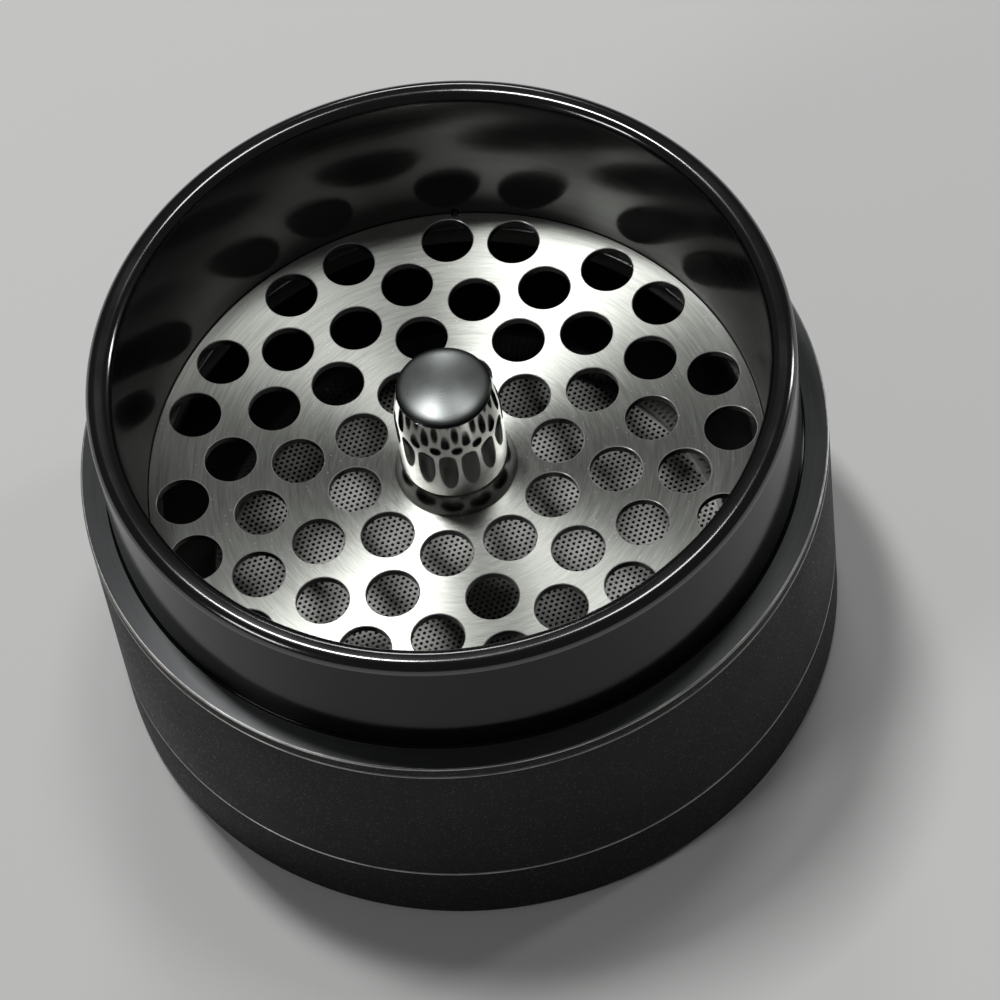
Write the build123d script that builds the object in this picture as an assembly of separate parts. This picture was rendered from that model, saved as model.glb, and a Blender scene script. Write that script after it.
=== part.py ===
from build123d import *
import os
from math import cos, sin, radians, sqrt

# Herb and spice grinder of the toothless, milled-plate kind, standing open with its lid off.
# A shallow catch tray screws onto a sieve chamber, the sieve chamber takes a milling chamber
# with a tall glossy neck, and a perforated milling plate with a centre post drops into the neck.
# Frame: millimetres, +Z up along the common axis, origin at the centre of the underside.

# ---- driving dimensions -------------------------------------------------
BODY_R = 31.5            # outer radius of tray, sieve chamber and shoulder ring (63 mm body)
SEAM_CHAMFER = 0.18      # broken edge on each side of a seam

# catch tray
TRAY_TOP = 7.2           # joint face towards the sieve chamber
TRAY_FLOOR = 1.0         # floor thickness
TRAY_POCKET_R = 24.2     # shallow collecting pocket
TRAY_STEP_Z = 2.9        # end of the threaded bore
TRAY_FOOT_R = 0.8        # rounded lower edge
POCKET_FILLET = 1.2

# lower screw joint
PITCH = 2.0
LOW_ROOT_R = 27.6        # male root on the sieve chamber skirt
LOW_CREST_R = 28.3
LOW_BORE_R = 28.45       # female bore in the tray
LOW_INNER_R = 27.75

# sieve chamber
SIEVE_BOTTOM = 3.3       # end of the lower skirt
SIEVE_FACE = 7.3         # shoulder above the tray's joint face
SIEVE_TOP = 23.6
SIEVE_THROAT_R = 22.1    # straight bore just above the screen
SIEVE_THROAT_TOP = 9.0
SIEVE_MOUTH_R = 26.4     # funnel mouth
SIEVE_MOUTH_Z = 17.6
SCREEN_SEAT_R = 24.0
SCREEN_T = 0.2
SCREEN_TOP = 4.3

# upper screw joint
UP_ROOT_R = 28.0         # male root on the milling chamber skirt
UP_CREST_R = 28.7
UP_BORE_R = 28.85        # female bore in the sieve chamber
UP_INNER_R = 28.15
UP_BORE_Z = 18.0

# milling chamber
MILL_SKIRT_BOTTOM = 18.6
FLANGE_BOTTOM = 23.7
LEDGE_Z = 24.9           # shoulder that the lid rests on
NECK_R = 29.3
NECK_IN_LOW_R = 26.25    # inner wall at the plate
NECK_IN_TOP_R = 27.15    # inner wall under the lip
RIM_Z = 37.0
LIP_FILLET = 0.95
SHELF_R = 25.1           # inner edge of the shelf that carries the plate

# milling plate
PLATE_TOP = 21.5
PLATE_T = 0.8
PLATE_R = 26.15
HOLE_D = 4.5
RING_R = [8.80, 13.53, 16.99, 19.33, 23.33]   # hole circles
PAIR_HALF_DEG = 7.11     # outer circle: pairs of holes, half their spacing
PLATE_SCREW_D = 4.2
SHELF_Z = PLATE_TOP - PLATE_T

# locating pin that stops the plate from turning
PIN_R, PIN_AT_R, PIN_ANGLE = 0.3, 26.15, 77.45
PIN_BOTTOM, PIN_TOP = 19.3, 21.35
NOTCH_R = 0.36

# centre post
COLLAR_R, COLLAR_TOP_R, COLLAR_H = 5.2, 4.56, 2.0
POST_R, POST_TOP_R = 4.5, 4.05
POST_TAPER_Z = 8.45      # where the tapered top would meet the straight sleeve, above the plate
POST_BLEND_R = 10.0      # rounding between the straight sleeve and the taper
POST_TOP_Z = 11.5        # top of the sleeve, above the plate
CAP_R, CAP_EDGE_H, CAP_DOME, CAP_SPIGOT = 3.92, 0.35, 0.5, 0.8
MAGNET_R, MAGNET_H = 3.0, 3.0
SCREW_R, SCREW_HEAD_R, SCREW_HEAD_H, SCREW_REACH = 2.0, 3.8, 2.2, 3.8
WASHER_R, WASHER_T = 4.5, 0.5
HEX_R, HEX_DEPTH = 1.45, 1.3

# glide rings
RING_IN_R, RING_OUT_R, RING_T = 29.35, 30.85, 0.6
GROOVE_IN_R, GROOVE_OUT_R, GROOVE_D = 29.3, 30.9, 0.5

# thread form: one rounded trapezoid ridge on each side of a joint
RIDGE_W, RIDGE_TIP_W, ROOT_BITE = 1.25, 0.60, 0.30


# ---- helpers --------------------------------------------------------------
def lathe(points):
    """Solid of revolution about Z from a closed (radius, height) outline."""
    with BuildSketch(Plane.XZ) as s:
        with BuildLine():
            Polyline(*points, close=True)
        make_face()
    return revolve(s.sketch, axis=Axis.Z)


def ridge(wall_r, tip_r, z0, turns, start_deg):
    """One helical thread ridge, rising anticlockwise, standing from wall_r to tip_r."""
    out = 1 if tip_r > wall_r else -1
    height = abs(tip_r - wall_r)
    buried = wall_r - out * ROOT_BITE
    wide = RIDGE_W + (RIDGE_W - RIDGE_TIP_W) * ROOT_BITE / height
    path = Helix(PITCH, PITCH * turns, wall_r)
    with BuildSketch(Plane.XZ) as s:
        with BuildLine():
            Polyline(
                (buried, -wide / 2), (tip_r, -RIDGE_TIP_W / 2),
                (tip_r, RIDGE_TIP_W / 2), (buried, wide / 2), close=True,
            )
        make_face()
    body = sweep(s.sketch, path=path, is_frenet=True)
    return Pos(0, 0, z0) * Rot(0, 0, start_deg) * body


def rod(r, z0, z1):
    return Pos(0, 0, z0) * Cylinder(r, z1 - z0, align=(Align.CENTER, Align.CENTER, Align.MIN))


def ring_edge(shape, r, z):
    """The circular edge of a given radius and height."""
    return shape.edges().filter_by(GeomType.CIRCLE).filter_by(
        lambda e: abs(e.radius - r) < 1e-3 and abs(e.center().Z - z) < 1e-3)


parts = {}

# ---- catch tray -------------------------------------------------------------
tray = lathe([
    (0, 0), (BODY_R, 0), (BODY_R, TRAY_TOP), (LOW_BORE_R, TRAY_TOP),
    (LOW_BORE_R, TRAY_STEP_Z), (TRAY_POCKET_R, TRAY_STEP_Z),
    (TRAY_POCKET_R, TRAY_FLOOR), (0, TRAY_FLOOR),
])
tray = fillet(ring_edge(tray, BODY_R, 0), TRAY_FOOT_R)
tray = fillet(ring_edge(tray, TRAY_POCKET_R, TRAY_FLOOR), POCKET_FILLET)
tray = chamfer(ring_edge(tray, BODY_R, TRAY_TOP), SEAM_CHAMFER)
tray = tray + ridge(LOW_BORE_R, LOW_INNER_R, 3.7, 1.3, -252)
parts["catch_tray"] = tray

# ---- sieve chamber ------------------------------------------------------------
sieve = lathe([
    (SCREEN_SEAT_R, SIEVE_BOTTOM), (LOW_ROOT_R, SIEVE_BOTTOM), (LOW_ROOT_R, SIEVE_FACE),
    (GROOVE_IN_R, SIEVE_FACE), (GROOVE_IN_R, SIEVE_FACE + GROOVE_D),
    (GROOVE_OUT_R, SIEVE_FACE + GROOVE_D), (GROOVE_OUT_R, SIEVE_FACE),
    (BODY_R, SIEVE_FACE), (BODY_R, SIEVE_TOP), (UP_BORE_R, SIEVE_TOP),
    (UP_BORE_R, UP_BORE_Z), (SIEVE_MOUTH_R, UP_BORE_Z), (SIEVE_MOUTH_R, SIEVE_MOUTH_Z),
    (SIEVE_THROAT_R, SIEVE_THROAT_TOP), (SIEVE_THROAT_R, SCREEN_TOP),
    (SCREEN_SEAT_R, SCREEN_TOP),
])
sieve = chamfer(ring_edge(sieve, BODY_R, SIEVE_FACE), SEAM_CHAMFER)
sieve = chamfer(ring_edge(sieve, BODY_R, SIEVE_TOP), SEAM_CHAMFER)
sieve = sieve + ridge(LOW_ROOT_R, LOW_CREST_R, 4.1, 1.05, 0)
sieve = sieve + ridge(UP_BORE_R, UP_INNER_R, 18.9, 1.9, -288)
parts["sieve_chamber"] = sieve

# ---- sieve screen and the ring that clamps it -----------------------------------
parts["sieve_screen"] = rod(SCREEN_SEAT_R - 0.1, SCREEN_TOP - SCREEN_T, SCREEN_TOP)
parts["screen_retaining_ring"] = (
    rod(SCREEN_SEAT_R - 0.02, SIEVE_BOTTOM, SCREEN_TOP - SCREEN_T)
    - rod(SIEVE_THROAT_R + 0.1, SIEVE_BOTTOM, SCREEN_TOP - SCREEN_T))

# ---- glide rings ------------------------------------------------------------------
for name, z in (("lower_glide_ring", TRAY_TOP), ("upper_glide_ring", SIEVE_TOP)):
    parts[name] = rod(RING_OUT_R, z, z + RING_T) - rod(RING_IN_R, z, z + RING_T)

# ---- milling chamber ----------------------------------------------------------------
mill = lathe([
    (SHELF_R, MILL_SKIRT_BOTTOM), (UP_ROOT_R, MILL_SKIRT_BOTTOM), (UP_ROOT_R, FLANGE_BOTTOM),
    (GROOVE_IN_R, FLANGE_BOTTOM), (GROOVE_IN_R, FLANGE_BOTTOM + GROOVE_D),
    (GROOVE_OUT_R, FLANGE_BOTTOM + GROOVE_D), (GROOVE_OUT_R, FLANGE_BOTTOM),
    (BODY_R, FLANGE_BOTTOM), (BODY_R, LEDGE_Z), (NECK_R, LEDGE_Z),
    (NECK_R, RIM_Z), (NECK_IN_TOP_R, RIM_Z), (NECK_IN_LOW_R, PLATE_TOP),
    (NECK_IN_LOW_R, SHELF_Z), (SHELF_R, SHELF_Z),
])
lip = ring_edge(mill, NECK_R, RIM_Z) + ring_edge(mill, NECK_IN_TOP_R, RIM_Z)
mill = fillet(lip, LIP_FILLET)
mill = chamfer(ring_edge(mill, BODY_R, LEDGE_Z) + ring_edge(mill, BODY_R, FLANGE_BOTTOM), SEAM_CHAMFER)
pin_x = PIN_AT_R * cos(radians(PIN_ANGLE))
pin_y = PIN_AT_R * sin(radians(PIN_ANGLE))
mill = mill - Pos(pin_x, pin_y, 0) * rod(PIN_R + 0.01, PIN_BOTTOM, PLATE_TOP)
mill = mill + ridge(UP_ROOT_R, UP_CREST_R, 19.5, 1.4, 0)
parts["milling_chamber"] = mill
parts["plate_locating_pin"] = Pos(pin_x, pin_y, 0) * rod(PIN_R, PIN_BOTTOM, PIN_TOP)

# ---- milling plate --------------------------------------------------------------------
centres = []
for k in range(10):
    a = 36.0 * k
    centres += [(RING_R[0], a), (RING_R[1], a + 18), (RING_R[2], a), (RING_R[3], a + 18),
                (RING_R[4], a - PAIR_HALF_DEG), (RING_R[4], a + PAIR_HALF_DEG)]
with BuildPart() as plate:
    with BuildSketch(Plane.XY.offset(SHELF_Z)):
        Circle(PLATE_R)
        Circle(PLATE_SCREW_D / 2, mode=Mode.SUBTRACT)
        with Locations((pin_x, pin_y)):
            Circle(NOTCH_R, mode=Mode.SUBTRACT)
        with Locations(*[(r * cos(radians(a)), r * sin(radians(a))) for r, a in centres]):
            Circle(HOLE_D / 2, mode=Mode.SUBTRACT)
    extrude(amount=PLATE_T)
parts["milling_plate"] = plate.part

# ---- centre post ----------------------------------------------------------------------------
z = PLATE_TOP
collar = lathe([(2.6, z), (COLLAR_R, z), (COLLAR_R, z + 0.15), (COLLAR_TOP_R, z + COLLAR_H),
                (2.6, z + COLLAR_H)])
parts["post_collar"] = collar

post = lathe([(0, z + COLLAR_H), (POST_R, z + COLLAR_H), (POST_R, z + POST_TAPER_Z),
              (POST_TOP_R, z + POST_TOP_Z), (0, z + POST_TOP_Z)])
post = fillet(ring_edge(post, POST_R, z + POST_TAPER_Z), POST_BLEND_R)
magnet_top = z + POST_TOP_Z - CAP_SPIGOT - 0.03
post = post - rod(SCREW_R + 0.03, z + COLLAR_H, z + COLLAR_H + SCREW_REACH + 0.2)
post = post - rod(MAGNET_R + 0.03, magnet_top - MAGNET_H, z + POST_TOP_Z)
parts["centre_post"] = post
parts["post_magnet"] = rod(MAGNET_R, magnet_top - MAGNET_H, magnet_top)

# domed cap: spherical crown on a short cylindrical edge, spigot below
crown_r = (CAP_R ** 2 + CAP_DOME ** 2) / (2 * CAP_DOME)
crown_z = z + POST_TOP_Z + CAP_EDGE_H + CAP_DOME - crown_r
cap = rod(CAP_R, z + POST_TOP_Z, z + POST_TOP_Z + CAP_EDGE_H + CAP_DOME)
cap = cap & (Pos(0, 0, crown_z) * Sphere(crown_r))
cap = fillet(ring_edge(cap, CAP_R, z + POST_TOP_Z + CAP_EDGE_H), 0.3)
cap = cap + rod(MAGNET_R, z + POST_TOP_Z - CAP_SPIGOT, z + POST_TOP_Z)
parts["post_cap"] = cap

# screw and washer under the plate
parts["post_washer"] = rod(WASHER_R, SHELF_Z - WASHER_T, SHELF_Z) - rod(SCREW_R + 0.15, SHELF_Z - WASHER_T, SHELF_Z)
head_z = SHELF_Z - WASHER_T - SCREW_HEAD_H
head = rod(SCREW_HEAD_R, head_z, head_z + SCREW_HEAD_H)
head = fillet(ring_edge(head, SCREW_HEAD_R, head_z), 0.9)
shank = rod(SCREW_R, head_z + SCREW_HEAD_H, z + COLLAR_H + SCREW_REACH)
with BuildPart() as key:
    with BuildSketch(Plane.XY.offset(head_z)):
        RegularPolygon(HEX_R, 6)
    extrude(amount=HEX_DEPTH)
parts["post_screw"] = head + shank - key.part

# ---- write -------------------------------------------------------------------------------------
os.makedirs("parts", exist_ok=True)
for name, shape in parts.items():
    solids = shape.solids()
    print(name, len(solids), round(sum(s.volume for s in solids), 2))
    export_step(shape if len(solids) != 1 else solids[0], f"parts/{name}.step")
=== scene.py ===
import bpy
import bmesh
import math
import random
import numpy as np
from mathutils import Matrix, Vector
from mathutils.geometry import delaunay_2d_cdt


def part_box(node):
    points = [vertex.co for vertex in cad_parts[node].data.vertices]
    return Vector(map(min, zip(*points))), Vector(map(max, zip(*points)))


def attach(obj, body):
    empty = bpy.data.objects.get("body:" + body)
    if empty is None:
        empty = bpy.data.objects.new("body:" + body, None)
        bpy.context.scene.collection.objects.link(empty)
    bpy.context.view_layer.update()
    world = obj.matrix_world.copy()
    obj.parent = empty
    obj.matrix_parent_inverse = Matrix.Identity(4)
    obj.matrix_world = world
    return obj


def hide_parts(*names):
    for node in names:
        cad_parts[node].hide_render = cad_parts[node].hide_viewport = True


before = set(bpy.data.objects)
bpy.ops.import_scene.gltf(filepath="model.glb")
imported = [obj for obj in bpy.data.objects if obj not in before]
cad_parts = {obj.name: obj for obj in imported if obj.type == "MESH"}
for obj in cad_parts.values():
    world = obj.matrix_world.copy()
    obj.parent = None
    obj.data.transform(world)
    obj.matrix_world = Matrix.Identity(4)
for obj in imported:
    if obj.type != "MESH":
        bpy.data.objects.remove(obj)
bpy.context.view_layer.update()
random.seed(7)
MM = 0.001
SEG = 320


# ------------------------------------------------------------------ sizes read from the frame
def top(n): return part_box(n)[1].z / MM
def low(n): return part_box(n)[0].z / MM
def rad(n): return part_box(n)[1].x / MM

BODY_R = 31.5
TRAY_TOP = top("catch_tray")
SIEVE_LOW, SIEVE_TOP = low("sieve_chamber"), top("sieve_chamber")
SIEVE_FACE = 7.3
MILL_LOW, RIM_Z = low("milling_chamber"), top("milling_chamber")
PLATE_LOW, PLATE_TOP = low("milling_plate"), top("milling_plate")
SCREEN_LOW, SCREEN_TOP = low("sieve_screen"), top("sieve_screen")
LEDGE_Z, FLANGE_Z = 24.9, 23.7
PITCH = 2.0


# ------------------------------------------------------------------ node helpers
class Mat:
    """A small builder of node materials."""

    def __init__(self, name):
        self.m = bpy.data.materials.new(name)
        self.m.use_nodes = True
        self.t = self.m.node_tree
        self.t.nodes.clear()
        self.out = self.t.nodes.new("ShaderNodeOutputMaterial")
        self.p = self.t.nodes.new("ShaderNodeBsdfPrincipled")
        self.t.links.new(self.p.outputs[0], self.out.inputs[0])
        self._pos = None

    def node(self, kind, **kw):
        n = self.t.nodes.new(kind)
        for k, v in kw.items():
            setattr(n, k, v)
        return n

    def link(self, a, b):
        self.t.links.new(a, b)

    def val(self, sock, v):
        if hasattr(v, "is_output"):
            self.link(v, sock)
        else:
            sock.default_value = v

    def math(self, op, a, b=None, c=None, clamp=False):
        n = self.node("ShaderNodeMath", operation=op, use_clamp=clamp)
        self.val(n.inputs[0], a)
        if b is not None:
            self.val(n.inputs[1], b)
        if c is not None:
            self.val(n.inputs[2], c)
        return n.outputs[0]

    def pos(self):
        """Object coordinates: the object sits at the frame's origin, so these are metres in the frame at rest."""
        if self._pos is None:
            self._pos = self.node("ShaderNodeTexCoord").outputs["Object"]
        return self._pos

    def xyz(self):
        s = self.node("ShaderNodeSeparateXYZ")
        self.link(self.pos(), s.inputs[0])
        return s.outputs

    def polar(self, cx=0.0, cy=0.0):
        """(unit x, unit y, radius) about the axis, in metres."""
        x, y, z = self.xyz()
        if cx or cy:
            x, y = self.math("SUBTRACT", x, cx), self.math("SUBTRACT", y, cy)
        r = self.math("SQRT", self.math("ADD", self.math("MULTIPLY", x, x), self.math("ADD", self.math("MULTIPLY", y, y), 1e-12)))
        return self.math("DIVIDE", x, r), self.math("DIVIDE", y, r), r, z

    def vec(self, x, y, z):
        n = self.node("ShaderNodeCombineXYZ")
        for i, v in enumerate((x, y, z)):
            self.val(n.inputs[i], v)
        return n.outputs[0]

    def noise(self, vector, scale=1.0, detail=2.0, rough=0.5, dims="3D"):
        n = self.node("ShaderNodeTexNoise", noise_dimensions=dims)
        self.link(vector, n.inputs["Vector"])
        n.inputs["Scale"].default_value = scale
        n.inputs["Detail"].default_value = detail
        n.inputs["Roughness"].default_value = rough
        return n.outputs["Fac"]

    def voronoi(self, vector, scale, feature="F1", dims="3D"):
        n = self.node("ShaderNodeTexVoronoi", feature=feature, voronoi_dimensions=dims)
        self.link(vector, n.inputs["Vector"])
        n.inputs["Scale"].default_value = scale
        return n

    def map(self, v, a, b, c, d, clamp=True):
        n = self.node("ShaderNodeMapRange")
        n.clamp = clamp
        self.val(n.inputs["Value"], v)
        for k, x in (("From Min", a), ("From Max", b), ("To Min", c), ("To Max", d)):
            self.val(n.inputs[k], x)
        return n.outputs[0]

    def mix(self, f, a, b):
        n = self.node("ShaderNodeMix", data_type="RGBA")
        self.val(n.inputs["Factor"], f)
        for s, v in ((n.inputs[6], a), (n.inputs[7], b)):
            if hasattr(v, "is_output"):
                self.link(v, s)
            else:
                s.default_value = (*v, 1.0)
        return n.outputs[2]

    def bump(self, height, strength, distance, normal=None):
        n = self.node("ShaderNodeBump")
        n.inputs["Strength"].default_value = strength
        n.inputs["Distance"].default_value = distance
        self.link(height, n.inputs["Height"])
        if normal is not None:
            self.link(normal, n.inputs["Normal"])
        return n.outputs[0]

    def set(self, **kw):
        names = {"color": "Base Color", "metallic": "Metallic", "rough": "Roughness", "ior": "IOR", "spec": "Specular IOR Level",
                 "aniso": "Anisotropic", "aniso_rot": "Anisotropic Rotation", "normal": "Normal", "tangent": "Tangent",
                 "coat": "Coat Weight", "coat_rough": "Coat Roughness", "tint": "Specular Tint"}
        for k, v in kw.items():
            s = self.p.inputs[names[k]]
            if hasattr(v, "is_output"):
                self.link(v, s)
            elif k in ("color", "tint"):
                s.default_value = (*v, 1.0)
            else:
                s.default_value = v
        return self

    def turned_tangent(self, ux, uy):
        """World-space radial direction: turned and circular-brushed faces spread light across their grooves."""
        v = self.vec(ux, uy, 0.0)
        n = self.node("ShaderNodeVectorTransform", vector_type="VECTOR", convert_from="OBJECT", convert_to="WORLD")
        self.link(v, n.inputs[0])
        return n.outputs[0]


# ------------------------------------------------------------------ materials
P_ROUGH, P_ANISO = 0.355, 0.945      # brushed plate


def mat_plate():
    """Circular-brushed stainless steel."""
    m = Mat("brushed_plate")
    ux, uy, r, z = m.polar()
    # concentric brush marks: fine in radius, long in angle, each set with its own centre
    def marks(cx, cy, around, across, detail, rough):
        vx, vy, vr, vz = m.polar(cx, cy) if cx or cy else (ux, uy, r, z)
        return m.noise(m.vec(m.math("MULTIPLY", vx, around), m.math("MULTIPLY", vy, around), m.math("MULTIPLY", vr, across)), 1.0, detail, rough)
    fine = marks(0.0, 0.0, 6.0, 11000.0, 2.0, 0.6)
    broad = marks(0.0, 0.0, 4.0, 3400.0, 2.0, 0.6)
    off = marks(0.0031, -0.0019, 9.0, 8200.0, 1.0, 0.5)
    stray = m.map(marks(-0.010, 0.007, 14.0, 7000.0, 0.0, 0.5), 0.735, 0.78, 0.0, 1.0)
    stray2 = m.map(marks(0.013, 0.006, 16.0, 6500.0, 0.0, 0.5), 0.745, 0.79, 0.0, 1.0)
    stray = m.math("MAXIMUM", stray, stray2)
    cloud = m.noise(m.pos(), 170.0, 3.0, 0.6)
    dust = m.voronoi(m.pos(), 1500.0, dims="2D")
    keep = m.node("ShaderNodeSeparateColor")
    m.link(dust.outputs["Color"], keep.inputs[0])
    speck = m.math("MULTIPLY", m.map(dust.outputs["Distance"], 0.05, 0.11, 1.0, 0.0), m.math("GREATER_THAN", keep.outputs[0], 0.88))
    grain = m.math("ADD", m.math("MULTIPLY", fine, 0.45), m.math("ADD", m.math("MULTIPLY", broad, 0.33), m.math("MULTIPLY", off, 0.22)))
    rough = m.math("ADD", m.map(grain, 0.34, 0.66, P_ROUGH - 0.025, P_ROUGH + 0.025), m.map(cloud, 0.3, 0.7, -0.012, 0.02))
    col = m.mix(m.map(grain, 0.34, 0.66, 0.0, 1.0), (0.428, 0.442, 0.405), (0.705, 0.726, 0.672))
    col = m.mix(m.math("MULTIPLY", stray, 0.12), col, (0.86, 0.85, 0.83))
    col = m.mix(m.math("MULTIPLY", speck, 0.85), col, (0.95, 0.94, 0.92))
    m.set(color=col, metallic=m.math("SUBTRACT", 1.0, m.math("MULTIPLY", speck, 0.75)), rough=rough, aniso=P_ANISO, tangent=m.turned_tangent(ux, uy),
          normal=m.bump(m.math("ADD", grain, m.math("MULTIPLY", stray, 0.06)), 0.24, 0.000014))
    return m.m


def mat_polished(name, color, rough=0.07):
    m = Mat(name)
    ux, uy, r, z = m.polar()
    lines = m.noise(m.vec(m.math("MULTIPLY", ux, 2.0), m.math("MULTIPLY", uy, 2.0), m.math("MULTIPLY", z, 9000.0)), 1.0, 2.0, 0.5)
    smear = m.noise(m.pos(), 420.0, 3.0, 0.6)
    m.set(color=m.mix(smear, tuple(c * 0.93 for c in color), color), metallic=1.0,
          rough=m.math("ADD", m.map(lines, 0.3, 0.7, rough * 0.75, rough * 1.3), m.map(smear, 0.35, 0.7, 0.0, 0.03)),
          normal=m.bump(lines, 0.05, 0.000006))
    return m.m


def mat_edge():
    m = Mat("bevel_painted_highlight")
    n = m.noise(m.pos(), 5200.0, 2.0, 0.6)
    # painted highlight: the chamfers are real, but their near-white, mostly non-metallic colour paints the bright edge
    # line
    m.set(color=m.mix(n, (0.66, 0.66, 0.64), (0.90, 0.895, 0.88)), metallic=0.35, rough=m.map(n, 0.3, 0.7, 0.26, 0.40))
    return m.m


def mat_cap():
    """Satin, finely turned cap; the turning fades out at the very middle. The rolled outer rim is painted near-black:
    painted shade.
    """
    m = Mat("cap_satin")
    ux, uy, r, z = m.polar()
    rings = m.noise(m.vec(m.math("MULTIPLY", ux, 1.5), m.math("MULTIPLY", uy, 1.5), m.math("MULTIPLY", r, 14000.0)), 1.0, 2.0, 0.5)
    haze = m.noise(m.pos(), 500.0, 3.0, 0.55)
    fade = m.map(r, 0.0002, 0.0018, 0.0, 1.0)
    # painted shade: from r 3.45 mm outwards the colour fades to near-black over the rolled rim
    rim = m.map(r, 0.00345, 0.00388, 0.0, 1.0)
    m.set(color=m.mix(rim, m.mix(haze, (0.150, 0.160, 0.158), (0.190, 0.203, 0.200)), (0.012, 0.013, 0.013)), metallic=0.62,
          rough=m.math("ADD", m.map(rings, 0.3, 0.7, 0.28, 0.32), m.map(haze, 0.3, 0.7, -0.02, 0.02)),
          aniso=m.math("MULTIPLY", fade, 0.2), tangent=m.turned_tangent(ux, uy), normal=m.bump(rings, 0.04, 0.000005))
    return m.m


def mat_screen():
    m = Mat("screen_steel")
    a = m.noise(m.pos(), 900.0, 3.0, 0.6)
    b = m.noise(m.pos(), 9000.0, 2.0, 0.5)
    m.set(color=m.mix(a, (0.25, 0.25, 0.24), (0.38, 0.377, 0.362)), metallic=1.0,
          rough=m.map(a, 0.3, 0.7, 0.40, 0.52), normal=m.bump(b, 0.12, 0.00001))
    return m.m


def mat_black_gloss(name="black_gloss", spec=0.5, ior=1.6, low=0.06, high=0.10):
    m = Mat(name)
    ux, uy, r, z = m.polar()
    turned = m.noise(m.vec(m.math("MULTIPLY", ux, 2.5), m.math("MULTIPLY", uy, 2.5), m.math("MULTIPLY", z, 4500.0)), 1.0, 2.0, 0.5)
    smudge = m.noise(m.pos(), 95.0, 4.0, 0.6)
    dust = m.voronoi(m.pos(), 1500.0)
    speck = m.map(dust.outputs["Distance"], 0.04, 0.09, 1.0, 0.0)
    keep = m.node("ShaderNodeSeparateColor")
    m.link(dust.outputs["Color"], keep.inputs[0])
    speck = m.math("MULTIPLY", speck, m.math("GREATER_THAN", keep.outputs[0], 0.975))
    m.set(color=m.mix(m.math("MULTIPLY", speck, 0.35), (0.0030, 0.0031, 0.0033), (0.09, 0.09, 0.085)), metallic=0.0, ior=ior, spec=spec,
          rough=m.math("ADD", m.map(turned, 0.3, 0.7, low, high), m.map(smudge, 0.45, 0.75, 0.0, 0.05)),
          normal=m.bump(turned, 0.03, 0.00001))
    return m.m


def mat_seam():
    """Broken edge of an anodised part: dark, smoother than the blasted face beside it."""
    m = Mat("anodised_edge")
    n = m.noise(m.pos(), 5200.0, 2.0, 0.6)
    broad = m.noise(m.pos(), 260.0, 3.0, 0.6)
    m.set(color=m.mix(m.math("MULTIPLY", n, m.map(broad, 0.35, 0.7, 0.2, 1.0)), (0.30, 0.298, 0.288), (0.95, 0.94, 0.91)), metallic=1.0, rough=m.map(n, 0.3, 0.7, 0.30, 0.46))
    return m.m


def mat_satin_black():
    """Turned shoulder: satin, with fine concentric tool marks."""
    m = Mat("black_satin")
    ux, uy, r, z = m.polar()
    rings = m.noise(m.vec(m.math("MULTIPLY", ux, 4.0), m.math("MULTIPLY", uy, 4.0), m.math("MULTIPLY", m.math("ADD", r, z), 9000.0)), 1.0, 2.0, 0.55)
    cloud = m.noise(m.pos(), 240.0, 3.0, 0.6)
    m.set(color=m.mix(rings, (0.085, 0.088, 0.090), (0.130, 0.134, 0.136)), metallic=0.75,
          rough=m.math("ADD", m.map(rings, 0.3, 0.7, 0.38, 0.44), m.map(cloud, 0.3, 0.7, -0.02, 0.03)),
          aniso=0.80, tangent=m.turned_tangent(ux, uy), normal=m.bump(rings, 0.12, 0.00001))
    return m.m


def mat_black_matte():
    """Bead-blasted, black anodised aluminium: even dark grain with tiny smoother cells, whose colour is also painted
    lighter as painted glints.
    """
    m = Mat("black_matte")
    grain = m.noise(m.pos(), 5200.0, 3.0, 0.65)
    broad = m.noise(m.pos(), 120.0, 4.0, 0.55)
    cells = m.voronoi(m.pos(), 8200.0)
    sep = m.node("ShaderNodeSeparateColor")
    m.link(cells.outputs["Color"], sep.inputs[0])
    smooth_cells_painted_glint = m.math("GREATER_THAN", sep.outputs[0], 0.95)
    col = m.mix(m.map(grain, 0.3, 0.7, 0.0, 1.0), (0.0030, 0.0031, 0.0033), (0.0090, 0.0092, 0.0096))
    # painted glint: the cells are coloured lighter, in addition to their real lower roughness below
    col = m.mix(m.math("MULTIPLY", smooth_cells_painted_glint, 0.38), col, (0.07, 0.07, 0.068))
    rough = m.math("ADD", m.map(grain, 0.3, 0.7, 0.46, 0.60), m.map(broad, 0.3, 0.7, -0.03, 0.04))
    rough = m.math("SUBTRACT", rough, m.math("MULTIPLY", smooth_cells_painted_glint, 0.20))
    m.set(color=col, metallic=0.0, ior=1.45, spec=0.20, rough=rough, normal=m.bump(grain, 0.35, 0.00003))
    return m.m


def mat_steel(name, color, rough):
    m = Mat(name)
    ux, uy, r, z = m.polar()
    lines = m.noise(m.vec(m.math("MULTIPLY", ux, 3.0), m.math("MULTIPLY", uy, 3.0), m.math("MULTIPLY", m.math("ADD", r, z), 9000.0)), 1.0, 2.0, 0.5)
    m.set(color=m.mix(lines, tuple(c * 0.8 for c in color), color), metallic=1.0,
          rough=m.map(lines, 0.3, 0.7, rough * 0.85, rough * 1.2), normal=m.bump(lines, 0.08, 0.00001))
    return m.m


def mat_nylon():
    m = Mat("glide_plastic")
    a = m.noise(m.pos(), 1500.0, 3.0, 0.6)
    b = m.noise(m.pos(), 90.0, 3.0, 0.5)
    m.set(color=m.mix(b, (0.62, 0.61, 0.57), (0.74, 0.735, 0.70)), metallic=0.0, rough=m.map(a, 0.3, 0.7, 0.38, 0.50),
          normal=m.bump(a, 0.1, 0.00002))
    m.p.inputs["Subsurface Weight"].default_value = 0.15
    m.p.inputs["Subsurface Radius"].default_value = (0.001, 0.001, 0.0008)
    return m.m


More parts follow.
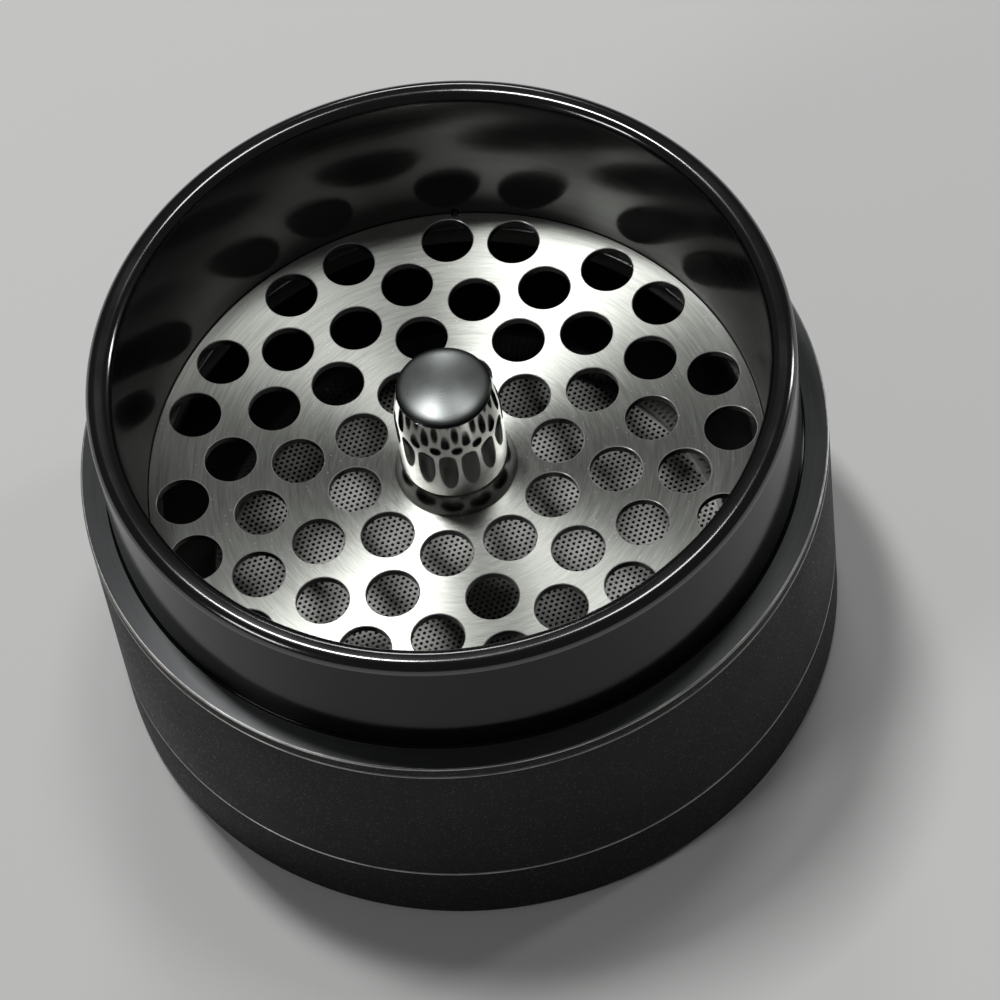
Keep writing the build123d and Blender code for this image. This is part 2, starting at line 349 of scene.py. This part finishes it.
M = {
    "plate": mat_plate(), "edge": mat_edge(), "cap": mat_cap(), "screen": mat_screen(),
    "gloss": mat_black_gloss("black_gloss", 0.5, 1.95, 0.11, 0.16), "inner": mat_black_gloss("black_inner_wall", 0.5, 1.6, 0.13, 0.18), "gloss_out": mat_black_gloss("black_gloss_outer", 0.22, 1.45, 0.10, 0.16),
    "satin": mat_satin_black(), "matte": mat_black_matte(), "seam": mat_seam(),
    "chrome": mat_polished("post_chrome", (0.74, 0.735, 0.72)),
    "collar": mat_polished("collar_steel", (0.17, 0.168, 0.164), 0.15),
    "ringsteel": mat_steel("retaining_steel", (0.46, 0.46, 0.455), 0.3),
    "screw": mat_steel("screw_steel", (0.55, 0.55, 0.54), 0.28),
    "pin": mat_steel("pin_steel", (0.42, 0.42, 0.42), 0.25),
    "magnet": mat_polished("magnet_nickel", (0.66, 0.63, 0.57), 0.12),
    "nylon": mat_nylon(),
}


# ------------------------------------------------------------------ mesh helpers
def finish_mesh(obj, angle=32.0):
    """Smooth shading, with edges sharper than the angle kept crisp."""
    bm = bmesh.new()
    bm.from_mesh(obj.data)
    bmesh.ops.recalc_face_normals(bm, faces=bm.faces)
    lim = math.radians(angle)
    for f in bm.faces:
        f.smooth = True
    for e in bm.edges:
        if len(e.link_faces) == 2:
            e.smooth = e.calc_face_angle(0.0) < lim
    bm.to_mesh(obj.data)
    bm.free()
    return obj


def make(name, verts, faces, mats, index=None):
    me = bpy.data.meshes.new(name)
    me.from_pydata([tuple(v) for v in verts], [], [tuple(f) for f in faces])
    for x in mats:
        me.materials.append(x)
    if index is not None:
        me.polygons.foreach_set("material_index", np.asarray(index, dtype=np.int32))
    me.validate()
    me.update()
    o = bpy.data.objects.new(name, me)
    bpy.context.scene.collection.objects.link(o)
    return o


def outline(points, arc=6):
    """Closed outline with rounded corners. points: (r, z, corner radius, material of the run that follows, optional
    material of the corner's arc).
    """
    n = len(points)
    out = []
    for i, (r, z, fr, mt, *rest) in enumerate(points):
        p = np.array([r, z], float)
        a = np.array(points[i - 1][:2], float)
        b = np.array(points[(i + 1) % n][:2], float)
        if fr <= 0:
            out.append((r, z, mt))
            continue
        u, v = (a - p), (b - p)
        lu, lv = np.linalg.norm(u), np.linalg.norm(v)
        u, v = u / lu, v / lv
        ang = math.acos(max(-1, min(1, float(u @ v))))
        t = min(fr / math.tan(ang / 2), 0.48 * lu if points[i - 1][2] > 0 else 0.98 * lu, 0.48 * lv if points[(i + 1) % n][2] > 0 else 0.98 * lv)
        rad_ = t * math.tan(ang / 2)
        c = p + (u + v) / np.linalg.norm(u + v) * (rad_ / math.sin(ang / 2))
        s, e = p + u * t - c, p + v * t - c
        a0, a1 = math.atan2(s[1], s[0]), math.atan2(e[1], e[0])
        d = (a1 - a0 + math.pi) % (2 * math.pi) - math.pi
        k = max(3, int(arc * (1 + (rad_ > 0.5) * 1.5)))
        edge_mt = rest[0] if rest else mt
        for j in range(k + 1):
            th = a0 + d * j / k
            q = c + rad_ * np.array([math.cos(th), math.sin(th)])
            out.append((q[0], q[1], mt if j == k else edge_mt))
    return out


def refine(pts, z0, z1, r, step):
    """Splits the straight run at radius r between z0 and z1 into short steps."""
    out = []
    n = len(pts)
    for i, p in enumerate(pts):
        q = pts[(i + 1) % n]
        out.append(p)
        if abs(p[0] - r) < 1e-6 and abs(q[0] - r) < 1e-6 and min(p[1], q[1]) < z1 and max(p[1], q[1]) > z0:
            k = int(abs(q[1] - p[1]) / step)
            for j in range(1, k):
                t = j / k
                out.append((r, p[1] + (q[1] - p[1]) * t, p[2]))
    return out


def ridge_height(theta, z, z0, turns, start_deg, height, base_w=1.25, tip_w=0.60, fade=22.0):
    """Height of a helical thread ridge at an angle (radians) and height, with run-ins at both ends."""
    best = np.zeros_like(z)
    rel = (np.degrees(theta) - start_deg) % 360.0
    for k in range(int(math.ceil(turns)) + 1):
        along = rel + 360.0 * k
        inside = (along >= 0) & (along <= turns * 360.0)
        dz = np.abs(z - (z0 + PITCH * along / 360.0))
        prof = np.clip((base_w / 2 - dz) / ((base_w - tip_w) / 2), 0, 1)
        f = np.clip(np.minimum(along, turns * 360.0 - along) / fade, 0, 1)
        f = f * f * (3 - 2 * f)
        best = np.maximum(best, np.where(inside, prof * f, 0.0))
    return best * height


def revolve(name, pts, mats, threads=(), seg=SEG, cap_ends=False):
    """Closed surface of revolution. pts: (r, z, material index), in mm, closed round. Points on the axis become poles."""
    P = [p for i, p in enumerate(pts) if abs(p[0] - pts[i - 1][0]) > 1e-7 or abs(p[1] - pts[i - 1][1]) > 1e-7]
    n = len(P)
    th = np.arange(seg) * 2 * math.pi / seg
    verts, rows = [], []
    for (r, z, mt) in P:
        if r < 1e-9:
            rows.append([len(verts)])
            verts.append((0.0, 0.0, z * MM))
            continue
        rr = np.full(seg, r)
        for (wall, za, zb, sign, z0, turns, start, h) in threads:
            if abs(r - wall) < 1e-6 and za - 1e-6 <= z <= zb + 1e-6:
                rr = rr + sign * ridge_height(th, np.full(seg, z), z0, turns, start, h)
        rows.append(list(range(len(verts), len(verts) + seg)))
        verts += [(a * math.cos(t) * MM, a * math.sin(t) * MM, z * MM) for a, t in zip(rr, th)]
    faces, idx = [], []
    for i in range(n):
        a, b, mt = rows[i], rows[(i + 1) % n], P[i][2]
        if len(a) == 1 and len(b) == 1:
            continue
        for j in range(seg):
            k = (j + 1) % seg
            if len(a) == 1:
                f = (a[0], b[k], b[j])
            elif len(b) == 1:
                f = (a[j], a[k], b[0])
            else:
                f = (a[j], a[k], b[k], b[j])
            faces.append(f)
            idx.append(mt)
    return make(name, verts, faces, mats, idx)


def place(obj, body, nodes, angle=32.0):
    finish_mesh(obj, angle)
    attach(obj, body)
    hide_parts(*nodes)
    return obj


# ------------------------------------------------------------------ catch tray
pts = outline([
    (0, 0, 0, 0), (29.6, 0, 0, 0), (29.9, 0.12, 0.1, 0), (31.5, 0.12, 0.85, 0, 0), (31.5, TRAY_TOP, 0.09, 0, 1),
    (28.45, TRAY_TOP, 0.15, 0, 1), (28.45, 2.9, 0.15, 0), (24.2, 2.9, 0.2, 0), (24.2, 1.0, 1.2, 0), (0, 1.0, 0, 0)])
pts = refine(pts, 3.0, TRAY_TOP - 0.1, 28.45, 0.05)
pts = [p for p in pts]
tray = revolve("tray_shell", pts, [M["matte"], M["seam"]], [(28.45, 3.0, TRAY_TOP, -1, 3.7, 1.3, -252, 0.7)])
place(tray, "tray", ["catch_tray"])

# ------------------------------------------------------------------ sieve chamber
pts = outline([
    (24.0, SIEVE_LOW, 0.12, 0), (27.6, SIEVE_LOW, 0.25, 0), (27.6, SIEVE_FACE, 0.1, 0), (29.3, SIEVE_FACE, 0.05, 0),
    (29.3, SIEVE_FACE + 0.5, 0.05, 0), (30.9, SIEVE_FACE + 0.5, 0.05, 0), (30.9, SIEVE_FACE, 0.05, 0),
    (31.5, SIEVE_FACE, 0.09, 0, 1), (31.5, SIEVE_TOP, 0.09, 0, 1), (28.85, SIEVE_TOP, 0.15, 0, 0), (28.85, 18.0, 0.1, 0),
    (26.4, 18.0, 0.15, 2), (26.4, 17.6, 0.1, 2), (22.1, 9.0, 1.5, 2), (22.1, SCREEN_TOP, 0.04, 0), (24.0, SCREEN_TOP, 0.05, 0)])
pts = refine(pts, SIEVE_LOW, SIEVE_FACE, 27.6, 0.055)
pts = refine(pts, 18.1, SIEVE_TOP - 0.1, 28.85, 0.055)
sieve = revolve("sieve_chamber_shell", pts, [M["matte"], M["seam"], M["inner"]],
                [(27.6, SIEVE_LOW, SIEVE_FACE, 1, 4.1, 1.05, 0, 0.7), (28.85, 18.0, SIEVE_TOP, -1, 18.9, 1.9, -288, 0.7)])
place(sieve, "sieve_body", ["sieve_chamber"])

# ------------------------------------------------------------------ milling chamber
pts = outline([
    (25.1, MILL_LOW, 0.15, 0), (28.0, MILL_LOW, 0.25, 0), (28.0, FLANGE_Z, 0.1, 0), (29.3, FLANGE_Z, 0.05, 0),
    (29.3, FLANGE_Z + 0.5, 0.05, 0), (30.9, FLANGE_Z + 0.5, 0.05, 0), (30.9, FLANGE_Z, 0.05, 0),
    (31.5, FLANGE_Z, 0.09, 3, 2), (31.5, LEDGE_Z, 0.15, 1, 2), (29.3, LEDGE_Z, 0.22, 4), (29.3, RIM_Z, 0.95, 0),
    (27.15, RIM_Z, 0.95, 0), (26.25, PLATE_TOP, 0.0, 0), (26.25, PLATE_LOW, 0.0, 0), (25.1, PLATE_LOW, 0.1, 0)], arc=7)
pts = refine(pts, MILL_LOW + 0.2, FLANGE_Z - 0.1, 28.0, 0.055)
mill = revolve("milling_chamber_shell", pts, [M["gloss"], M["satin"], M["seam"], M["matte"], M["gloss_out"]],
               [(28.0, MILL_LOW, FLANGE_Z, 1, 19.5, 1.4, 0, 0.7)])
place(mill, "mill_body", ["milling_chamber"], 40.0)


# ------------------------------------------------------------------ milling plate
def circle(cx, cy, r, n, phase=0.0):
    return [(cx + r * math.cos(phase + 2 * math.pi * i / n), cy + r * math.sin(phase + 2 * math.pi * i / n)) for i in range(n)]


HOLES = []
for k in range(10):
    a = 36.0 * k
    HOLES += [(8.80, a), (13.53, a + 18), (16.99, a), (19.33, a + 18), (23.33, a - 7.11), (23.33, a + 7.11)]
HOLES = [(r * math.cos(math.radians(a)), r * math.sin(math.radians(a)), 2.25, 56) for r, a in HOLES] + [(0, 0, 2.1, 48)]
PIN = (26.15 * math.cos(math.radians(77.45)), 26.15 * math.sin(math.radians(77.45)))


def plate_outer(R, notch):
    """Outer circle with a small round notch at the locating pin."""
    n = 480
    pts_ = []
    a0 = math.atan2(PIN[1], PIN[0])
    half = 2 * math.asin(min(1.0, notch / 2 / R))
    done = False
    for i in range(n):
        t = a0 + half + (2 * math.pi - 2 * half) * i / (n - 1)
        pts_.append((R * math.cos(t), R * math.sin(t)))
    s, e = pts_[-1], pts_[0]
    sa = math.atan2(s[1] - PIN[1], s[0] - PIN[0])
    ea = math.atan2(e[1] - PIN[1], e[0] - PIN[0])
    d = (ea - sa) % (2 * math.pi)
    inner = math.atan2(-PIN[1], -PIN[0])
    if not (0 < (inner - sa) % (2 * math.pi) < d):
        d -= 2 * math.pi
    for j in range(1, 12):
        t = sa + d * j / 12
        pts_.append((PIN[0] + notch * math.cos(t), PIN[1] + notch * math.sin(t)))
    return pts_


def flat_with_holes(loops):
    """Triangulates the area inside loops[0] and outside the others."""
    vs, es = [], []
    for lp in loops:
        s = len(vs)
        vs += [Vector(p) for p in lp]
        es += [(s + i, s + (i + 1) % len(lp)) for i in range(len(lp))]
    v2, e2, f2, ov, oe, of_ = delaunay_2d_cdt(vs, es, [], 1, 1e-7)
    tris = []
    cen = [(sum(p[0] for p in lp) / len(lp), sum(p[1] for p in lp) / len(lp), len(lp)) for lp in loops[1:]]
    owner = {}
    s = 0
    for li, lp in enumerate(loops):
        for i in range(len(lp)):
            owner[s + i] = li
        s += len(lp)
    for f in f2:
        ids = [ov[i][0] if ov[i] else -1 for i in f]
        own = {owner.get(i, -1) for i in ids}
        if len(own) == 1 and next(iter(own)) > 0:
            continue      # inside a hole
        tris.append(tuple(ids))
    return tris


bev = 0.06
PLATE_R = 26.2
zt, zb = PLATE_TOP, PLATE_LOW
zm_t, zm_b = zt - bev, zb + bev
loops_edge = [plate_outer(PLATE_R - bev, 0.36 + bev)] + [circle(x, y, r + bev, n) for x, y, r, n in HOLES]
loops_wall = [plate_outer(PLATE_R, 0.36)] + [circle(x, y, r, n) for x, y, r, n in HOLES]
tris = flat_with_holes(loops_edge)
counts = [len(l) for l in loops_edge]
flatE = [p for l in loops_edge for p in l]
flatW = [p for l in loops_wall for p in l]
N = len(flatE)
verts = [(x * MM, y * MM, zt * MM) for x, y in flatE] + [(x * MM, y * MM, zm_t * MM) for x, y in flatW] + \
        [(x * MM, y * MM, zm_b * MM) for x, y in flatW] + [(x * MM, y * MM, zb * MM) for x, y in flatE]
faces = [t for t in tris] + [tuple(3 * N + i for i in reversed(t)) for t in tris]
idx = [0] * (2 * len(tris))
s = 0
for li, c in enumerate(counts):
    for i in range(c):
        j = (i + 1) % c
        # material 1 on the top and bottom chamfers carries the painted highlight; material 2 is the hole and outer-edge
        # wall
        for lvl, mt in ((0, 1), (1, 2), (2, 1)):
            a, b = lvl * N + s + i, lvl * N + s + j
            faces.append((a, b, b + N, a + N))
            idx.append(mt)
    s += c
plate = make("milling_plate_perforated", verts, faces, [M["plate"], M["edge"], M["ringsteel"]], idx)
place(plate, "plate_assembly", ["milling_plate"], 25.0)


# ------------------------------------------------------------------ sieve screen
def perforated_screen():
    pitch, hr = 0.531, 0.165
    turn = math.radians(7.4 - 4.73)
    R_act, R_out = 22.02, 23.9
    t_top, t_low = SCREEN_TOP - 0.03, SCREEN_TOP - 0.15
    a1 = np.array([math.cos(turn), math.sin(turn)]) * pitch
    a2 = np.array([math.cos(turn + math.pi / 3), math.sin(turn + math.pi / 3)]) * pitch
    K = int(R_act / pitch * 1.3) + 2
    cells = {}
    for i in range(-K, K + 1):
        for j in range(-K, K + 1):
            c = i * a1 + j * a2
            if np.hypot(*c) < R_act - hr:
                cells[(i, j)] = len(cells)
    # six corners per hole, flats facing the neighbours
    ang = [turn + math.pi / 6 + k * math.pi / 3 for k in range(6)]
    P2 = np.zeros((len(cells) * 6, 2))
    for (i, j), n in cells.items():
        c = i * a1 + j * a2
        for k in range(6):
            P2[n * 6 + k] = c + hr * np.array([math.cos(ang[k]), math.sin(ang[k])])
    nb = [(1, 0), (0, 1), (-1, 1), (-1, 0), (0, -1), (1, -1)]      # neighbours at turn + 60 k
    top_faces = []
    used = {}
    def add(f):
        top_faces.append(f)
        for q in range(len(f)):
            e = (f[q], f[(q + 1) % len(f)])
            used[e] = used.get(e, 0) + 1
    for (i, j), n in cells.items():
        for k in range(3):
            m_ = cells.get((i + nb[k][0], j + nb[k][1]))
            if m_ is None:
                continue
            # this hole's flat towards direction k lies between corners k-1 and k
            a, b = n * 6 + (k - 1) % 6, n * 6 + k
            c, d = m_ * 6 + (k + 2) % 6, m_ * 6 + (k + 3) % 6
            add((a, c + 0, d, b) if False else (a, d, c, b))
        for k in (0, 1):
            m1 = cells.get((i + nb[k][0], j + nb[k][1]))
            m2 = cells.get((i + nb[k + 1][0], j + nb[k + 1][1]))
            if m1 is None or m2 is None:
                continue
            add((n * 6 + k, m1 * 6 + (k + 2) % 6, m2 * 6 + (k + 4) % 6))
    # boundary loops of the webbed area that aren't holes
    hole_edges = set()
    for n in range(len(cells)):
        for k in range(6):
            hole_edges.add((n * 6 + (k + 1) % 6, n * 6 + k))
            hole_edges.add((n * 6 + k, n * 6 + (k + 1) % 6))
    return P2, cells, top_faces, used, hole_edges, R_out, t_top, t_low


P2, cells, top_faces, used, hole_edges, R_out, t_top, t_low = perforated_screen()
# border: everything between the webbed area and the rim, triangulated with the open edges as constraints
nxt = {}
for (a, b) in used:
    if (b, a) not in used and (a, b) not in hole_edges:
        nxt.setdefault(b, []).append(a)
open_hole = []      # hole sides that no web face touches, at the border
touch = set()
for (a, b) in used:
    touch.add((a, b)); touch.add((b, a))
ids, seen = [], {}
cons = []
def vid(i):
    if i not in seen:
        seen[i] = len(ids)
        ids.append(i)
    return seen[i]
for (a, b) in used:
    if (b, a) not in used and (a, b) not in hole_edges:
        cons.append((vid(a), vid(b)))
border_cells = set()
for n in range(len(cells)):
    for k in range(6):
        e = (n * 6 + k, n * 6 + (k + 1) % 6)
        if e not in used and (e[1], e[0]) not in used:
            border_cells.add(n)
            cons.append((vid(e[0]), vid(e[1])))
nr = 420
ring = circle(0, 0, R_out, nr)
v_in = [Vector((P2[i][0], P2[i][1])) for i in ids] + [Vector(p) for p in ring]
e_in = cons + [(len(ids) + i, len(ids) + (i + 1) % nr) for i in range(nr)]
v2, e2, f2, ov, oe, of_ = delaunay_2d_cdt(v_in, e_in, [], 0, 1e-7)
# keep the faces outside the webbed area: flood from the rim without crossing a constraint
edge_faces = {}
fl = []
for f in f2:
    g = tuple(ov[i][0] for i in f)
    fl.append(g)
for fi, g in enumerate(fl):
    for q in range(len(g)):
        edge_faces.setdefault(frozenset((g[q], g[(q + 1) % len(g)])), []).append(fi)
blocked = {frozenset(c) for c in e_in}
keep, stack = set(), []
for i in range(nr):
    for fi in edge_faces.get(frozenset((len(ids) + i, len(ids) + (i + 1) % nr)), []):
        if fi not in keep:
            keep.add(fi); stack.append(fi)
while stack:
    g = fl[stack.pop()]
    for q in range(len(g)):
        e = frozenset((g[q], g[(q + 1) % len(g)]))
        if e in blocked:
            continue
        for o2 in edge_faces[e]:
            if o2 not in keep:
                keep.add(o2); stack.append(o2)
base = len(P2)
P_all = np.vstack([P2, np.array(ring)])
def gid(i):
    return ids[i] if i < len(ids) else base + (i - len(ids))
border = [tuple(gid(i) for i in fl[k]) for k in sorted(keep)]
tops = []
for f in top_faces + border:
    a, b, c = (P_all[f[0]], P_all[f[1]], P_all[f[2]])
    area = (b[0] - a[0]) * (c[1] - a[1]) - (b[1] - a[1]) * (c[0] - a[0])
    tops.append(tuple(f) if area > 0 else tuple(reversed(f)))
NV = len(P_all)
verts = [(x * MM, y * MM, t_top * MM) for x, y in P_all] + [(x * MM, y * MM, t_low * MM) for x, y in P_all]
faces = list(tops) + [tuple(NV + i for i in reversed(f)) for f in tops]
count = {}
for f in tops:
    for q in range(len(f)):
        e = (f[q], f[(q + 1) % len(f)])
        count[e] = count.get(e, 0) + 1
walls = [(b, a, a + NV, b + NV) for (a, b) in count if (b, a) not in count]
faces += walls
screen = make("sieve_screen_mesh", verts, faces, [M["screen"]])
place(screen, "sieve_body", ["sieve_screen"], 30.0)
print("screen tris", sum(len(p.vertices) - 2 for p in screen.data.polygons), "cells", len(cells))

# ------------------------------------------------------------------ retaining ring and glide rings
rr = revolve("retaining_ring_turned", outline([
    (22.2, SIEVE_LOW, 0.15, 0), (23.98, SIEVE_LOW, 0.12, 0), (23.98, SCREEN_LOW, 0.06, 0), (22.2, SCREEN_LOW, 0.06, 0)]), [M["ringsteel"]], seg=256)
place(rr, "sieve_body", ["screen_retaining_ring"])
for name, body, node in (("lower_glide_ring_moulded", "lower_ring", "lower_glide_ring"), ("upper_glide_ring_moulded", "upper_ring", "upper_glide_ring")):
    a, b = low(node), top(node)
    g = revolve(name, outline([(29.35, a, 0.12, 0), (30.85, a, 0.12, 0), (30.85, b, 0.12, 0), (29.35, b, 0.12, 0)]), [M["nylon"]], seg=256)
    place(g, body, [node])

# ------------------------------------------------------------------ centre post
z = PLATE_TOP
col = revolve("post_collar_turned", outline([
    (2.6, z, 0.05, 0), (5.2, z, 0.03, 0), (5.2, z + 0.15, 0.10, 0), (4.57, z + 2.0, 0.07, 0), (4.44, z + 2.0, 0.03, 0),
    (4.40, z + 1.86, 0.03, 0), (4.2, z + 1.86, 0.03, 0), (4.1, z + 2.0, 0.02, 0), (2.6, z + 2.0, 0.05, 0)]), [M["collar"]], seg=256)
place(col, "plate_assembly", ["post_collar"], 40.0)
post = revolve("centre_post_polished", outline([
    (2.03, z + 2.0, 0.05, 0), (4.4, z + 2.0, 0.04, 0), (4.5, z + 2.14, 0.08, 0), (4.5, z + 8.45, 10.0, 0), (3.98, z + 11.5, 0.03, 0),
    (3.03, z + 11.5, 0.05, 0), (3.03, z + 7.67, 0.05, 0), (0, z + 7.67, 0, 0), (0, z + 6.0, 0, 0), (2.03, z + 6.0, 0.05, 0)], arc=12), [M["chrome"]], seg=320)
place(post, "plate_assembly", ["centre_post"], 40.0)
ct = top("post_cap")
R_d = (4.0 ** 2 + 0.5 ** 2) / (2 * 0.5)
edge_z = z + 11.5
sag = lambda r: ct - (R_d - math.sqrt(R_d * R_d - r * r))
dome = [(3.0 * (1 - i / 20.0), sag(3.0 * (1 - i / 20.0)), 0) for i in range(21)]
slope = 3.0 / math.sqrt(R_d * R_d - 9.0)
roll = []
for i in range(25):                       # the dome rolls over into the side
    t = 1.0 - i / 24.0
    roll.append(((1 - t) ** 2 * 3.0 + (2 * t - t * t) * 4.0,
                 (1 - t) ** 2 * sag(3.0) + 2 * t * (1 - t) * (sag(3.0) - 1.0 * slope) + t * t * (edge_z + 0.10), 0))
side = [(3.0, edge_z - 0.8, 0), (3.0, edge_z, 0), (3.94, edge_z, 0), (3.98, edge_z + 0.02, 0), (4.0, edge_z + 0.06, 0)] + roll[:-1] + dome[:1]
cap = revolve("post_cap_domed", [(0.0, edge_z - 0.8, 0)] + side + dome[1:], [M["cap"]], seg=256)
place(cap, "plate_assembly", ["post_cap"], 50.0)
mg_lo, mg_hi = low("post_magnet"), top("post_magnet")
mag = revolve("post_magnet_disc", outline([(0, mg_lo, 0, 0), (3.0, mg_lo, 0.2, 0), (3.0, mg_hi, 0.2, 0), (0, mg_hi, 0, 0)]), [M["magnet"]], seg=128)
place(mag, "plate_assembly", ["post_magnet"])
wz0, wz1 = low("post_washer"), top("post_washer")
wash = revolve("post_washer_pressed", outline([(2.15, wz0, 0.08, 0), (4.5, wz0, 0.16, 0), (4.5, wz1, 0.05, 0), (2.15, wz1, 0.05, 0)]), [M["screw"]], seg=128)
place(wash, "plate_assembly", ["post_washer"])


# ------------------------------------------------------------------ post screw: round head with a hexagon socket
def screw_mesh():
    zl = low("post_screw")
    n = 96
    prof = [(3.8, zl + 0.9), (3.8, zl + 2.12), (3.72, zl + 2.2), (2.0, zl + 2.2), (2.0, top("post_screw") - 0.25), (1.75, top("post_screw"))]
    head_arc = [(2.9 + 0.9 * math.sin(t), zl + 0.9 - 0.9 * math.cos(t)) for t in np.linspace(0, math.pi / 2, 9)]
    prof = head_arc[:-1] + prof
    vs, fs = [], []
    for r, zz in prof:
        vs += [(r * math.cos(2 * math.pi * i / n) * MM, r * math.sin(2 * math.pi * i / n) * MM, zz * MM) for i in range(n)]
    for k in range(len(prof) - 1):
        for i in range(n):
            j = (i + 1) % n
            fs.append((k * n + i, k * n + j, (k + 1) * n + j, (k + 1) * n + i))
    tipc = len(vs)
    vs.append((0, 0, top("post_screw") * MM))
    k = (len(prof) - 1) * n
    fs += [(k + i, k + (i + 1) % n, tipc) for i in range(n)]
    # hexagon socket, its side divided so that the face closes on the head's circle
    def hexp(a, R):
        s = (a - 0.0) % (math.pi / 3)
        return R * math.cos(math.pi / 6) / math.cos(s - math.pi / 6)
    for R, zz in ((1.55, zl), (1.45, zl + 0.1), (1.45, zl + 1.3)):
        vs += [(hexp(2 * math.pi * i / n, R) * math.cos(2 * math.pi * i / n) * MM,
                hexp(2 * math.pi * i / n, R) * math.sin(2 * math.pi * i / n) * MM, zz * MM) for i in range(n)]
    h0 = tipc + 1
    for i in range(n):
        j = (i + 1) % n
        fs.append((j, i, h0 + i, h0 + j))
        fs.append((h0 + j, h0 + i, h0 + n + i, h0 + n + j))
        fs.append((h0 + n + j, h0 + n + i, h0 + 2 * n + i, h0 + 2 * n + j))
    c = len(vs)
    vs.append((0, 0, (zl + 1.45) * MM))
    for i in range(n):
        fs.append((h0 + 2 * n + (i + 1) % n, h0 + 2 * n + i, c))
    return make("post_screw_socket", vs, fs, [M["screw"]])


place(screw_mesh(), "plate_assembly", ["post_screw"], 30.0)

# locating pin: rounded end
pz0, pz1 = low("plate_locating_pin"), top("plate_locating_pin")
pin = revolve("locating_pin_ground", outline([(0, pz0, 0, 0), (0.3, pz0, 0.08, 0), (0.3, pz1, 0.12, 0), (0, pz1, 0, 0)]), [M["pin"]], seg=48)
pin.data.transform(Matrix.Translation((PIN[0] * MM, PIN[1] * MM, 0)))
place(pin, "mill_body", ["plate_locating_pin"])

# ------------------------------------------------------------------ floor
fl_mat = Mat("floor_pale")
fn = fl_mat.noise(fl_mat.pos(), 6.0, 3.0, 0.5)
fl_mat.set(color=fl_mat.mix(fn, (0.88, 0.88, 0.87), (0.91, 0.91, 0.90)), rough=0.75, metallic=0.0)
bpy.ops.mesh.primitive_plane_add(size=6.0, location=(0, 0, -0.00002))
floor = bpy.context.object
floor.name = "floor"
floor.data.materials.append(fl_mat.m)

# ------------------------------------------------------------------ camera: fitted, plate centre as its own origin
S = 23.3333 * MM
EL, AZ, DIST = 0.986172720975049, -0.08253763731847231, 17.92073293951625
TX, TY, ROLL, F = 456.4839470609828, 464.58974745816863, 0.16909985550587725, 4953.581250663599
back = Vector((math.sin(AZ) * math.cos(EL), -math.cos(AZ) * math.cos(EL), math.sin(EL)))
fwd = -back
right = fwd.cross(Vector((0, 0, 1))).normalized()
upv = right.cross(fwd)
R0 = Matrix((right, upv, -fwd))
v = Vector(((TX - 500) / F, -(TY - 500) / F, -1.0)).normalized()
Q = Vector((0, 0, -1)).rotation_difference(v).to_matrix()
Z = Matrix.Rotation(ROLL, 3, "Z")
Rw = Q @ Z @ R0
cam_data = bpy.data.cameras.new("camera")
cam = bpy.data.objects.new("camera", cam_data)
bpy.context.scene.collection.objects.link(cam)
cam_data.sensor_width = 36.0
cam_data.sensor_fit = "HORIZONTAL"
cam_data.lens = F / 1000.0 * 36.0
cam_data.clip_start, cam_data.clip_end = 0.01, 20.0
mw = Rw.transposed().to_4x4()
mw.translation = back * (DIST * S) + Vector((0, 0, PLATE_TOP * MM))
cam.matrix_world = mw
bpy.context.scene.camera = cam


# ------------------------------------------------------------------ light
def area(name, az, el, dist, sx, sy, power, spin=0.0, target=(0, 0, 0.02), color=(1, 1, 1)):
    """A soft panel at an azimuth (from +X, anticlockwise) and elevation, facing the target."""
    d = bpy.data.lights.new(name, "AREA")
    d.shape = "RECTANGLE"
    d.size, d.size_y = sx, sy
    d.energy = power
    d.color = color
    o = bpy.data.objects.new(name, d)
    bpy.context.scene.collection.objects.link(o)
    a, e = math.radians(az), math.radians(el)
    dirn = Vector((math.cos(a) * math.cos(e), math.sin(a) * math.cos(e), math.sin(e)))
    o.location = Vector(target) + dirn * dist
    o.rotation_mode = "QUATERNION"
    q = (-dirn).to_track_quat("-Z", "Y")
    o.rotation_quaternion = q @ Matrix.Rotation(math.radians(spin), 3, "Z").to_quaternion()
    return o


area("key_panel", 115.0, 71.0, 0.9, 0.08, 0.20, 2.7)
area("second_panel", 55.0, 70.7, 0.9, 0.16, 0.16, 0.85)
area("back_panel", 82.0, 35.0, 1.1, 0.20, 0.14, 0.8)
area("edge_panel", 16.0, 15.0, 1.2, 0.12, 0.30, 1.8)
area("left_panel", 203.0, 27.0, 1.2, 0.30, 0.18, 1.7)

w = bpy.data.worlds.new("studio")
bpy.context.scene.world = w
w.use_nodes = True
bg = w.node_tree.nodes["Background"]
bg.inputs[0].default_value = (0.98, 0.99, 1.0, 1.0)
bg.inputs[1].default_value = 0.055

bpy.context.scene.view_settings.view_transform = "Standard"
bpy.context.scene.view_settings.look = "None"
